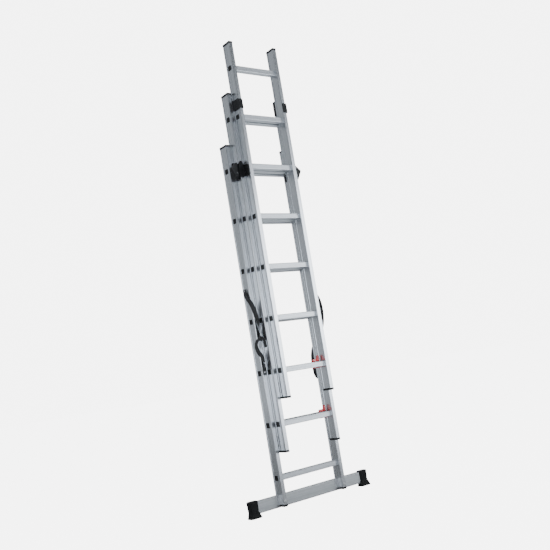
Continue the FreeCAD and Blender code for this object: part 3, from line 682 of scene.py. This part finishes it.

# %% [markdown]
# ## Building by hand
# The rest is made vertex by vertex with bmesh: round hardware is turned on a lathe, bolts get
# a true hexagon, and rubber and webbing are lofted through outlines. Three helpers do most of
# the work. One joins a stack of rings into a closed skin, one cuts a shape out of another with
# the exact boolean, and one hands a finished piece to the model: it gives the piece its body and
# its finish, and hides the plain node that it stands for.

# %% Helpers for pieces
def skin(name, rings, uvs=None):
    """A closed mesh through rings of equal length, with both ends capped."""
    shape = bmesh.new()
    rows = [[shape.verts.new(point) for point in ring] for ring in rings]
    layer = shape.loops.layers.uv.new("webbing") if uvs else None
    count = len(rings[0])
    for r, (low, high) in enumerate(zip(rows, rows[1:])):
        for i in range(count):
            j = (i + 1) % count
            face = shape.faces.new((low[i], low[j], high[j], high[i]))
            face.smooth = True
            if uvs:
                spots = (uvs[r][i], uvs[r][j], uvs[r + 1][j], uvs[r + 1][i])
                for loop, spot in zip(face.loops, spots):
                    loop[layer].uv = spot
    shape.faces.new(rows[0][::-1])
    shape.faces.new(rows[-1])
    bmesh.ops.recalc_face_normals(shape, faces=shape.faces[:])
    mesh = bpy.data.meshes.new(name)
    shape.to_mesh(mesh)
    shape.free()
    made = bpy.data.objects.new(name, mesh)
    bpy.context.scene.collection.objects.link(made)
    return made


def cut(piece, tools):
    """Cuts the tools out of a piece for good, then removes them."""
    for tool in tools:
        change = piece.modifiers.new("cut", "BOOLEAN")
        change.operation = "DIFFERENCE"
        change.solver = "EXACT"
        change.object = tool
    bpy.context.view_layer.update()
    ready = piece.evaluated_get(bpy.context.evaluated_depsgraph_get())
    mesh = bpy.data.meshes.new_from_object(ready)
    piece.modifiers.clear()
    piece.data = mesh
    for tool in tools:
        bpy.data.objects.remove(tool)


def place(piece, at, axis):
    """Turns a piece so that its own Z points along an axis, and moves it, in its mesh."""
    turn = Vector((0, 0, 1)).rotation_difference(Vector(axis)).to_matrix().to_4x4()
    piece.data.transform(Matrix.Translation(at) @ turn)


def hand_over(piece, body, slot, *stands_for):
    """Gives a piece its body and its finish, and hides the nodes that it replaces."""
    piece.data.materials.clear()
    piece.data.materials.append(FINISHES[slot])
    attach(piece, body)
    if stands_for:
        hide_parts(*stands_for)
    return piece


def circle(radius, height, count=40):
    """A level ring of points round the Z axis."""
    return [Vector((radius * math.cos(2 * math.pi * i / count),
                    radius * math.sin(2 * math.pi * i / count), height)) for i in range(count)]


def block(name, low, high):
    """A box-shaped cutting tool."""
    (x0, y0, z0), (x1, y1, z1) = low, high
    corners = [(x0, y0), (x1, y0), (x1, y1), (x0, y1)]
    return skin(name, [[Vector((x, y, z)) for x, y in corners] for z in (z0, z1)])


def islands(name):
    """The boxes of a node's separate solids, found by walking along its edges."""
    shape = bmesh.new()
    shape.from_mesh(NODES[name].data)
    bmesh.ops.remove_doubles(shape, verts=shape.verts[:], dist=WELD_GAP)
    waiting = set(shape.verts)
    boxes = []
    while waiting:
        reach = [waiting.pop()]
        solid = []
        while reach:
            vert = reach.pop()
            solid.append(vert.co.copy())
            near = {edge.other_vert(vert) for edge in vert.link_edges} & waiting
            waiting -= near
            reach.extend(near)
        boxes.append((Vector(min(p[i] for p in solid) for i in range(3)),
                      Vector(max(p[i] for p in solid) for i in range(3))))
    shape.free()
    return sorted(boxes, key=lambda b: tuple(round(v, 3) for v in b[0]))


print("strap screws at", [[round(v, 3) for v in (a + b) / 2] for a, b in islands("strap_screws")])

# %% [markdown]
# ## Webbing straps
# Each strap is flat webbing, 25 mm wide and under 2 mm thick. A tube would be wrong here: what
# the eye reads is the way that the band turns from its flat face to its thin edge. So a thin
# rounded section is swept along the smooth line, and a direction at every route point says
# where the width lies: along the stile's depth at the top, across its front at the clip.

# %% Straps: the band
STRAP_WIDE = 0.025
STRAP_THICK = 0.0017
HEM_LONG = 0.03
SELVEDGE_THIN = 0.55
SMOOTHINGS = 12
Y = (0, 1, 0)
LEFT_ACROSS = [Y, Y, (-0.15, 1, 0), (-0.4, 0.9, 0), (-0.6, 0.8, 0), (-0.5, 0.85, 0), (0.1, 1, 0),
               (0.6, 0.8, 0), (0.5, 0.6, 0.5), (0.2, 0.6, 0.7), (0, 1, 0.2), (-0.3, 0.95, 0),
               (-0.5, 0.85, 0), (0.1, 0.9, 0), (0.8, 0.6, 0), (1, 0, 0)]
TAIL_ACROSS = [(0.3, 0.5, 0.8), (0.2, 0.3, 0.9), (0, 0.5, 0.8), (0, 0.9, 0.4), Y]
RIGHT_ACROSS = [Y, Y, Y, Y, Y, Y, Y, Y, (-0.4, 0.9, 0), (-0.6, 0.7, 0.3),
                (-0.9, 0.4, 0.2), (-1, 0.3, 0), (-1, 0.3, 0), (-0.9, 0.4, -0.3), (-0.2, 0.8, -0.5),
                (0.4, 0.8, -0.2), (0.1, 0.8, 0.5), (0, 1, 0.2)]


def band_frames(along, hints):
    """For each point of the line: its place, its direction and the direction of the width."""
    count = len(along)
    wanted = []
    for i in range(count):
        place_in_hints = i / (count - 1) * (len(hints) - 1)
        k = min(int(place_in_hints), len(hints) - 2)
        wanted.append(Vector(hints[k]).lerp(Vector(hints[k + 1]), place_in_hints - k))
    for _ in range(SMOOTHINGS):
        inner = [(a + b * 2 + c) / 4 for a, b, c in zip(wanted, wanted[1:], wanted[2:])]
        wanted = [wanted[0], *inner, wanted[-1]]
    frames = []
    for i, point in enumerate(along):
        run = (along[min(i + 1, count - 1)] - along[max(i - 1, 0)]).normalized()
        across = (wanted[i] - run * wanted[i].dot(run)).normalized()
        frames.append((point, run, across))
    return frames


def band(name, frames, wide=STRAP_WIDE, thick=STRAP_THICK, lift=0.0):
    """Webbing swept along frames, with thinner rounded selvedges and a flat UV in metres."""
    half = [(t, 1 if abs(t) < 0.9 else SELVEDGE_THIN)
            for t in (-1, -0.93, -0.6, -0.2, 0.2, 0.6, 0.93, 1)]
    section = half + [(t, -s) for t, s in reversed(half)]
    rings, uvs, gone = [], [], 0.0
    for i, (point, run, across) in enumerate(frames):
        gone += (point - frames[max(i - 1, 0)][0]).length
        face = run.cross(across)
        rings.append([point + across * (t * wide / 2) + face * (s * thick / 2 + lift)
                      for t, s in section])
        uvs.append([(gone, t * wide / 2) for t, s in section])
    return skin(name, rings, uvs)


STITCH_PITCH = 0.0024
STITCH_HALVES = (0.00095, 0.00035, 0.00035, 1)


def stitches(name, frames, rows, lift):
    """Sewing threads: short rounded bars across the hem, sunk a little into the webbing."""
    shape = bmesh.new()
    for at in rows:
        point, run, across = frames[at]
        face = run.cross(across)
        for k in range(-4, 5):
            centre = point + across * (k * STITCH_PITCH) + face * lift
            bead = bmesh.ops.create_icosphere(shape, subdivisions=2, radius=1.0)["verts"]
            turn = Matrix((across, run, face)).transposed().to_4x4()
            size = Matrix.Diagonal(STITCH_HALVES)
            bmesh.ops.transform(shape, matrix=Matrix.Translation(centre) @ turn @ size, verts=bead)
    mesh = bpy.data.meshes.new(name)
    shape.to_mesh(mesh)
    shape.free()
    made = bpy.data.objects.new(name, mesh)
    bpy.context.scene.collection.objects.link(made)
    return made


# %% [markdown]
# The end under the screw is folded back and sewn: a second layer lies on the outer side of the
# band, with two rows of thread. The left strap also has a short tail that hangs from its turn.
# Both straps keep their true length, which is measured along the same line that shapes them.

# %% Straps: make both
FINISHES["thread"] = moulding("strap_thread", (0.05, 0.05, 0.055), 0.6, 2500.0, 0.00005)


def strap(side, line, hints, length, node_name):
    """A whole strap: the band, its hem on the side that faces away from the stile, the threads."""
    frames = band_frames(line, hints)
    made = band(f"webbing_{side}", frames)
    top, run, across = frames[0]
    away = 1 if side == "right" else -1
    outward = 1 if run.cross(across).x * away > 0 else -1
    hem_end = next(i for i, (point, _, _) in enumerate(frames) if point.z < top.z - HEM_LONG)
    hem = band(f"webbing_{side}_hem", frames[:hem_end], STRAP_WIDE - 1 * MM,
               STRAP_THICK, outward * STRAP_THICK)
    sewn = stitches(f"webbing_{side}_stitches", frames, (hem_end - 2, hem_end - 4),
                    outward * STRAP_THICK * 1.5)
    for piece in (hem, sewn):
        hand_over(piece, "base_section", "strap_webbing")
    sewn.data.materials[0] = FINISHES["thread"]
    hand_over(made, "base_section", "strap_webbing", node_name)
    print(f"{side} strap {length * 1000:.0f} mm, hem of {hem_end} steps")


tail = band("webbing_left_tail", band_frames(tail_line, TAIL_ACROSS))
hand_over(tail, "base_section", "strap_webbing")
strap("left", left_line, LEFT_ACROSS, LEFT_LENGTH, "strap_left")
strap("right", right_line, RIGHT_ACROSS, RIGHT_LENGTH, "strap_right")

# %% [markdown]
# ## Screws and bolts
# Small hardware sells the scale of a large object. A pan-head screw is a turned profile with
# a cross cut into it. A hexagon bolt is a prism whose upper corners are turned off, on a
# washer, with a nut and a little thread at its other end.

# %% Pan-head screws for the webbing
def pan_head(name, radius=0.005, tall=0.0028):
    """A low domed head with a cross cut into its top."""
    profile = [(radius * 0.97, 0), (radius, tall * 0.25), (radius * 0.96, tall * 0.6),
               (radius * 0.82, tall * 0.86), (radius * 0.6, tall * 0.97), (radius * 0.2, tall)]
    head = skin(name, [circle(r, h) for r, h in profile])
    long, thin = radius * 0.55, radius * 0.13
    deep = tall * 0.45
    cut(head, [block("slot_a", (-long, -thin, deep), (long, thin, tall * 2)),
               block("slot_b", (-thin, -long, deep), (thin, long, tall * 2))])
    return head


SCREW_AXES = [(-1, 0, 0), (0, -1, 0), (1, 0, 0), (1, 0, 0)]
HEM_UNDER_HEAD = 0.0032
HEAD_SINKS = 0.002
CLIPS_ARE_BELOW = 1.0
screw_boxes = islands("strap_screws")
for k, ((low, high), axis) in enumerate(zip(screw_boxes, SCREW_AXES)):
    centre = (low + high) / 2
    outer = Vector([high[i] if axis[i] > 0 else low[i] if axis[i] < 0 else centre[i] for i in range(3)])
    rise = HEM_UNDER_HEAD if centre.z > CLIPS_ARE_BELOW else 0.0
    head = pan_head(f"webbing_screw_{k + 1}")
    place(head, outer + Vector(axis) * (rise - HEAD_SINKS), axis)
    hand_over(head, "base_section", "bright_steel", *(["strap_screws"] if k == 0 else []))
print(len(screw_boxes), "pan-head screws")

# %% [markdown]
# Each bolt is two skins, one from each end: the shank inside the stile, the washer, and then
# the head or the nut. The turned corners are made by limiting the radius, because on a real
# hexagon a cone cuts the corners off.

# %% Hexagon bolts through the stiles
ACROSS_CORNERS = 1.1547
WASHER = 0.0011
WASHER_WIDE = 0.68
TURNED = 0.0012


def hexagon(flats, height, turned=1.0):
    """A hexagon ring of 24 points. Turned below 1 pulls the corners in, as a lathe does."""
    ring = []
    for i in range(24):
        angle = 2 * math.pi * i / 24
        to_flat = (angle + math.pi / 6) % (math.pi / 3) - math.pi / 6
        radius = flats / 2 / math.cos(to_flat)
        radius = min(radius, flats / 2 * ACROSS_CORNERS * turned)
        ring.append(Vector((radius * math.cos(angle), radius * math.sin(angle), height)))
    return ring


def bolt(name, front, back, flats, shank):
    """One bolt as two turned skins: its head at the front, and its nut at the back."""
    head_tall, nut_tall = flats * 0.42, flats * 0.5
    x, z = front.x, front.z
    long = back.y - front.y
    washer = [circle(flats * WASHER_WIDE, h, 24) for h in (0, WASHER)]
    head = [hexagon(flats, WASHER), hexagon(flats, head_tall - TURNED),
            hexagon(flats, head_tall - 0.0004, 0.93), hexagon(flats * 0.9, head_tall, 0.88)]
    front_shank = [circle(shank, -long / 2, 24), circle(shank, 0, 24)]
    front_piece = skin(name + "_head", [*front_shank, *washer, *head])
    place(front_piece, Vector((x, front.y, z)), (0, -1, 0))
    nut = [hexagon(flats, WASHER), hexagon(flats, nut_tall - TURNED), hexagon(flats * 0.94, nut_tall, 0.93)]
    stub = [circle(shank, nut_tall, 24), circle(shank, nut_tall + 0.0012, 24),
            circle(shank * 0.8, nut_tall + 0.0018, 24)]
    back_shank = [circle(shank, -long / 2 + 0.001, 24), circle(shank, 0, 24)]
    back_piece = skin(name + "_nut", [*back_shank, *washer, *nut, *stub])
    place(back_piece, Vector((x, back.y, z)), (0, 1, 0))
    return [front_piece, back_piece]


stands_for = ["stabilizer_bolts"]
for side, (low, high) in zip(("left", "right"), islands("stabilizer_bolts")):
    centre = (low + high) / 2
    front = Vector((centre.x, BASE_FRONT, centre.z))
    back = Vector((centre.x, BASE_HIGH.y, centre.z))
    for piece in bolt(f"bar_bolt_{side}", front, back, flats=0.012, shank=0.0035):
        hand_over(piece, "base_section", "bright_steel", *stands_for)
        stands_for = []
        soften(piece, 0.15 * MM)
print("bar bolts made")

# %% [markdown]
# ## Rubber feet
# Each end of the stabilizer bar wears a boot of black rubber: a flared sole, a narrow waist
# and a lip round the bar. It is lofted through level outlines with cut corners. Rubber
# boots carry grip ribs, so the outline steps in and out between the sole and the waist, and
# the underside gets tread grooves. The hollow for the bar and the grooves are cut last.

# %% Feet: the outline
CORNER_CUT = 9 * MM
CORNER_EASE = 0.3


def foot_ring(low, high, z):
    """A level outline: a rectangle whose corners are cut, each cut eased by two more points."""
    corners = (((low.x, low.y), (1, 1)), ((high.x, low.y), (-1, 1)),
               ((high.x, high.y), (-1, -1)), ((low.x, high.y), (1, -1)))
    soft = CORNER_CUT * CORNER_EASE
    ring = []
    for (x, y), (dx, dy) in corners:
        ends = [Vector((x, y + dy * CORNER_CUT, z)), Vector((x + dx * CORNER_CUT, y, z))]
        eased = [ends[0].lerp(ends[1], 0.14), ends[0].lerp(ends[1], 0.86)]
        before = ends[0] + Vector((0, dy * soft, 0))
        after = ends[1] + Vector((dx * soft, 0, 0))
        four = [before, eased[0], eased[1], after]
        ring.extend(four if dx * dy > 0 else four[::-1])
    return ring


# %% Feet: the levels, with ribs between the sole and the waist
# share of the height, then the pull from the sole in millimetres: on the front, on the back,
# at the bar's outer end and at its inner end
FOOT_LEVELS = [(0.0, 1.5, 1.0, 1.5, 1.5), (0.02, 0.0, 0.0, 0.0, 0.0), (0.085, 0.0, 0.0, 0.0, 0.0),
               (0.10, 0.9, 0.3, 0.9, 0.9), (0.39, 10.5, 0.4, 7.5, 8.0), (0.46, 10.8, 0.5, 7.2, 7.8),
               (0.93, 12.0, 0.5, 4.2, 6.2), (0.965, 12.0, 0.5, 4.2, 6.2), (1.0, 14.0, 2.0, 6.5, 8.5)]
RIBS_START = 0.10
RIB_STEPS = 8
GROOVE_DEEP = 0.9
GROOVE_TALL = 0.012


def ribbed(levels):
    """The levels with a groove at every second step of the stretch that carries the ribs."""
    fine = []
    for a, b in zip(levels, levels[1:]):
        steps = RIB_STEPS if a[0] == RIBS_START else 1
        for k in range(steps):
            share, *pulls = [p + (q - p) * (k / steps) for p, q in zip(a, b)]
            if k % 2:
                pulls = [v + GROOVE_DEEP for v in pulls]
                fine.append([share, *pulls])
                fine.append([share + GROOVE_TALL, *pulls])
            else:
                fine.append([share, *pulls])
    fine.append(list(levels[-1]))
    return fine


foot_levels = ribbed(FOOT_LEVELS)
print(len(foot_levels), "levels in a foot")

# %% Feet: make both
BAR_GAP = 0.3 * MM
TREAD_AT = (9, 19, 29, 39, 49, 59)
TREAD_WIDE = 2.6 * MM
TREAD_DEEP = 2.4 * MM
TOOL_PAST = 0.01


def foot(side):
    """One boot, shaped from the plain foot's box and hollowed for the bar."""
    low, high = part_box(f"stabilizer_foot_{side}")
    bar_low, bar_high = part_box("stabilizer_bar")
    tall = high.z - low.z
    rings = []
    for share, front, back, outer, inner in foot_levels:
        left, right = (outer, inner) if side == "left" else (inner, outer)
        corner_low = Vector((low.x + left * MM, low.y + front * MM, 0))
        corner_high = Vector((high.x - right * MM, high.y - back * MM, 0))
        rings.append(foot_ring(corner_low, corner_high, low.z + tall * share))
    made = skin(f"rubber_boot_{side}", rings)
    hollow = block("hollow", tuple(v - BAR_GAP for v in bar_low), tuple(v + BAR_GAP for v in bar_high))
    tread = [block("tread", (x * MM + low.x, low.y - TOOL_PAST, low.z - TOOL_PAST),
                   (x * MM + low.x + TREAD_WIDE, high.y + TOOL_PAST, low.z + TREAD_DEEP))
             for x in TREAD_AT]
    cut(made, [hollow, *tread])
    for face in made.data.polygons:
        face.use_smooth = False
    soften(made, 0.8 * MM)
    return hand_over(made, "base_section", "black_rubber", f"stabilizer_foot_{side}")


for side in ("left", "right"):
    made = foot(side)
    print(made.name, len(made.data.polygons), "faces")

# %% [markdown]
# ## Finish
# The last step prints how large the finished model is beside the plain one.

# %% Sizes
bpy.context.view_layer.update()
SEEN_BOX = [list(corner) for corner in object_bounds()]
for label, box in (("cad", CAD_BOX), ("visual", SEEN_BOX)):
    print(label, [[round(v, 4) for v in corner] for corner in box])
